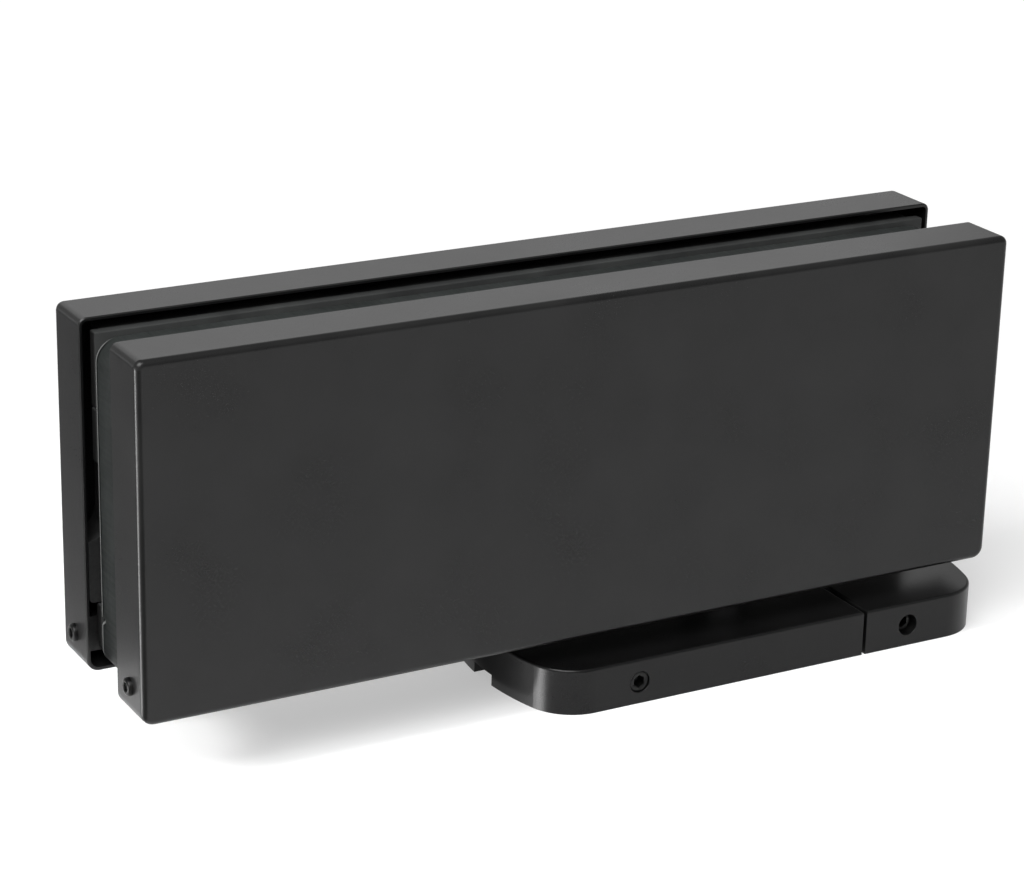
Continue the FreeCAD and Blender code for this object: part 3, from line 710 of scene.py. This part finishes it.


# The gasket strips' upright ends get a darker colour than their skin: painted shade on those ends.
gasket_rubber = soft_rubber("gasket_rubber", end_shade=(0.010, 0.010, 0.010, 1.0), dark=(0.031, 0.032, 0.032, 1.0),
                            light=(0.048, 0.050, 0.049, 1.0), roughness=0.55, sheen=0.14)
for place in ("front", "rear"):
    for strip in ("top", "middle", "foot"):
        node = "%s_gasket_%s" % (place, strip)
        piece = softened("%s_%s_strip" % (place, strip), node, gasket_edge, gasket_rubber)
        leave_out(strip_shade, piece)
        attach(piece, "door_side")
        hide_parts(node)

# Glass packer: a thick plastic sheet with round corners that keeps the slot open for the glass.
# Sawn, with its edges broken, dark grey with a slight green cast, and lifted out when the door goes in.
packer_edge = 0.00012
packer_dark = (0.024, 0.027, 0.026, 1.0)
packer_light = (0.039, 0.043, 0.042, 1.0)
# Painted highlight: a pale colour along the upright ends' arrises that stands in for their line of light.
packer_painted_highlight = (0.26, 0.265, 0.26, 1.0)
# Painted shade: near black, for a thin line beside the upright ends' arrises and for the foot, darker towards
# the bottom.
packer_painted_shade = (0.004, 0.0045, 0.0045, 1.0)
packer_highlight_width = 0.0009
packer_highlight_fade = packer_highlight_width * 0.3
packer_shade_line_width = 0.0005
packer_shade_line_fade = packer_shade_line_width * 0.4
packer_foot_shade_height = 0.012
packer_foot_shade_depth = 0.85
packer_cloud_scale = 110.0
packer_saw_scale = 1300.0
packer_saw_stretch = (1.0, 0.08, 1.0)
packer_smoothest = 0.36
packer_roughest = 0.50
packer_bump = 0.2
packer_saw_height = 0.00002
packer_sheen = 0.14
packer_low, packer_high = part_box("glass_packer")


def sawn_plastic(name):
    """Sheet plastic: cloudy, with saw marks, painted shade that darkens it towards its foot, and on its
    upright ends a painted highlight along the arrises with a line of painted shade beside it."""
    material, tree, shader, place = new_finish(name)
    cloud = noise(tree, place["Object"], packer_cloud_scale, 5.0)
    drawn_out = put(tree, "ShaderNodeMapping", {"Vector": place["Object"], "Scale": packer_saw_stretch})
    saw = noise(tree, drawn_out.outputs[0], packer_saw_scale, 3.0)
    plastic = shaded(tree, cloud, (0.30, packer_dark), (0.70, packer_light))
    across = put(tree, "ShaderNodeSeparateXYZ", {0: place["Object"]}).outputs
    endways = put(tree, "ShaderNodeSeparateXYZ", {0: place["Normal"]}).outputs["X"]
    endways_square = maths(tree, "MULTIPLY", endways, endways)
    upright_end = rescale(tree, endways_square, 0.05, 0.45, 0.0, 1.0)
    from_middle = maths(tree, "ABSOLUTE", across["Y"])
    # Painted highlight in a band along the arrises of the upright ends, patchy with the cloud.
    highlight_start = packer_high.y - packer_highlight_width
    highlight_band = rescale(tree, from_middle, highlight_start, highlight_start + packer_highlight_fade, 0.0, upright_end)
    # Painted shade in a thin line just inside the highlight band.
    shade_line_start = highlight_start - packer_shade_line_width
    shade_line = rescale(tree, from_middle, shade_line_start, shade_line_start + packer_shade_line_fade, 0.0, upright_end)
    # Painted shade, darker towards the foot.
    foot_shade_top = packer_low.z + packer_foot_shade_height
    tone_mask = rescale(tree, across["Z"], packer_low.z, foot_shade_top, packer_foot_shade_depth, 0.0)
    dark = maths(tree, "MAXIMUM", shade_line, tone_mask)
    plastic_with_painted_shade = put(tree, "ShaderNodeMixRGB", {"Fac": dark, "Color1": plastic, "Color2": packer_painted_shade})
    patchy = rescale(tree, cloud, 0.30, 0.55, 0.55, 1.0)
    painted_highlight = maths(tree, "MULTIPLY", highlight_band, patchy)
    colour = put(tree, "ShaderNodeMixRGB", {
        "Fac": painted_highlight, "Color1": plastic_with_painted_shade.outputs[0], "Color2": packer_painted_highlight})
    feed(tree, shader, {
        "Base Color": colour.outputs[0],
        "Roughness": rescale(tree, saw, noise_low, noise_high, packer_smoothest, packer_roughest),
        "Normal": relief(tree, saw, packer_bump, packer_saw_height),
        "Specular IOR Level": packer_sheen})
    return material


packer = softened("packer_sheet", "glass_packer", packer_edge, sawn_plastic("packer_plastic"))
leave_out(strip_shade, packer)
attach(packer, "packer")
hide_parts("glass_packer")

# Covers: two pressed sheet boxes, front and rear, pushed over the clamp and held by end screws.
# Satin black powder coat, rubbed a little paler along the edges.
cover_coat = ((0.0040, 0.0040, 0.0041, 1.0), (0.0090, 0.0090, 0.0091, 1.0), (0.0140, 0.0140, 0.0137, 1.0))
cover_sheen = 0.32
dress(("front_cover", "rear_cover"), powder_coat("cover_powder_coat", cover_coat, cover_sheen, True))

# Cover screws: a socket set screw through each end wall of each cover into a lug of the clamp.
# Blackened steel with a rounded rim, standing a little proud of the wall.
cover_screw_radius = 0.0015
cover_screw_pitch = 0.0005
cover_screw_core = cover_screw_radius - thread_depth_share * cover_screw_pitch
cover_screw_head = 0.0014
cover_screw_step = 0.0002
cover_screw_tip = 0.0003
cover_screw_dome = 0.0004
cover_screw_dome_half = cover_screw_dome * 0.5
cover_screw_dome_fall = cover_screw_dome * 0.13
cover_screw_socket_across = 0.0015
cover_screw_socket_depth = 0.0014
cover_screw_socket_mouth = 0.0001
cover_screw_length = 0.008
cover_screw_thread_gap = 0.0004
cover_screw_plain_length = 0.0009

cover_screw_form = turned_screw("cover_screw_form", (
    (cover_screw_core - cover_screw_tip, -cover_screw_length),
    (cover_screw_core, cover_screw_tip - cover_screw_length),
    (cover_screw_core, -cover_screw_head - cover_screw_step),
    (cover_screw_radius, -cover_screw_head), (cover_screw_radius, -cover_screw_dome),
    (cover_screw_radius - cover_screw_dome_fall, -cover_screw_dome_half),
    (cover_screw_radius - cover_screw_dome_half, -cover_screw_dome_fall),
    (cover_screw_radius - cover_screw_dome, 0.0)),
    cover_screw_socket_across, cover_screw_socket_depth, cover_screw_socket_mouth)
for place in ("front", "rear"):
    node = place + "_cover_screws"
    low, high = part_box(node)
    piece = grow(place + "_cover_screw_pair", screw_set, {
        "Form": cover_screw_form, "Thread Radius": cover_screw_core, "Thread Pitch": cover_screw_pitch,
        "Thread Length": cover_screw_length - cover_screw_head - cover_screw_plain_length,
        "Thread Top": -cover_screw_head - cover_screw_thread_gap,
        "Columns": 2, "Rows": 1, "Spacing X": high.x - low.x, "Spacing Z": 0.0,
        "Middle": ((low.x + high.x) / 2, (low.y + high.y) / 2, (low.z + high.z) / 2),
        "Turn": (0.0, -math.pi / 2, 0.0), "Turn Between": math.pi, "Finish": screw_black})
    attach(piece, "door_side")
    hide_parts(node)
bpy.data.objects.remove(cover_screw_form)
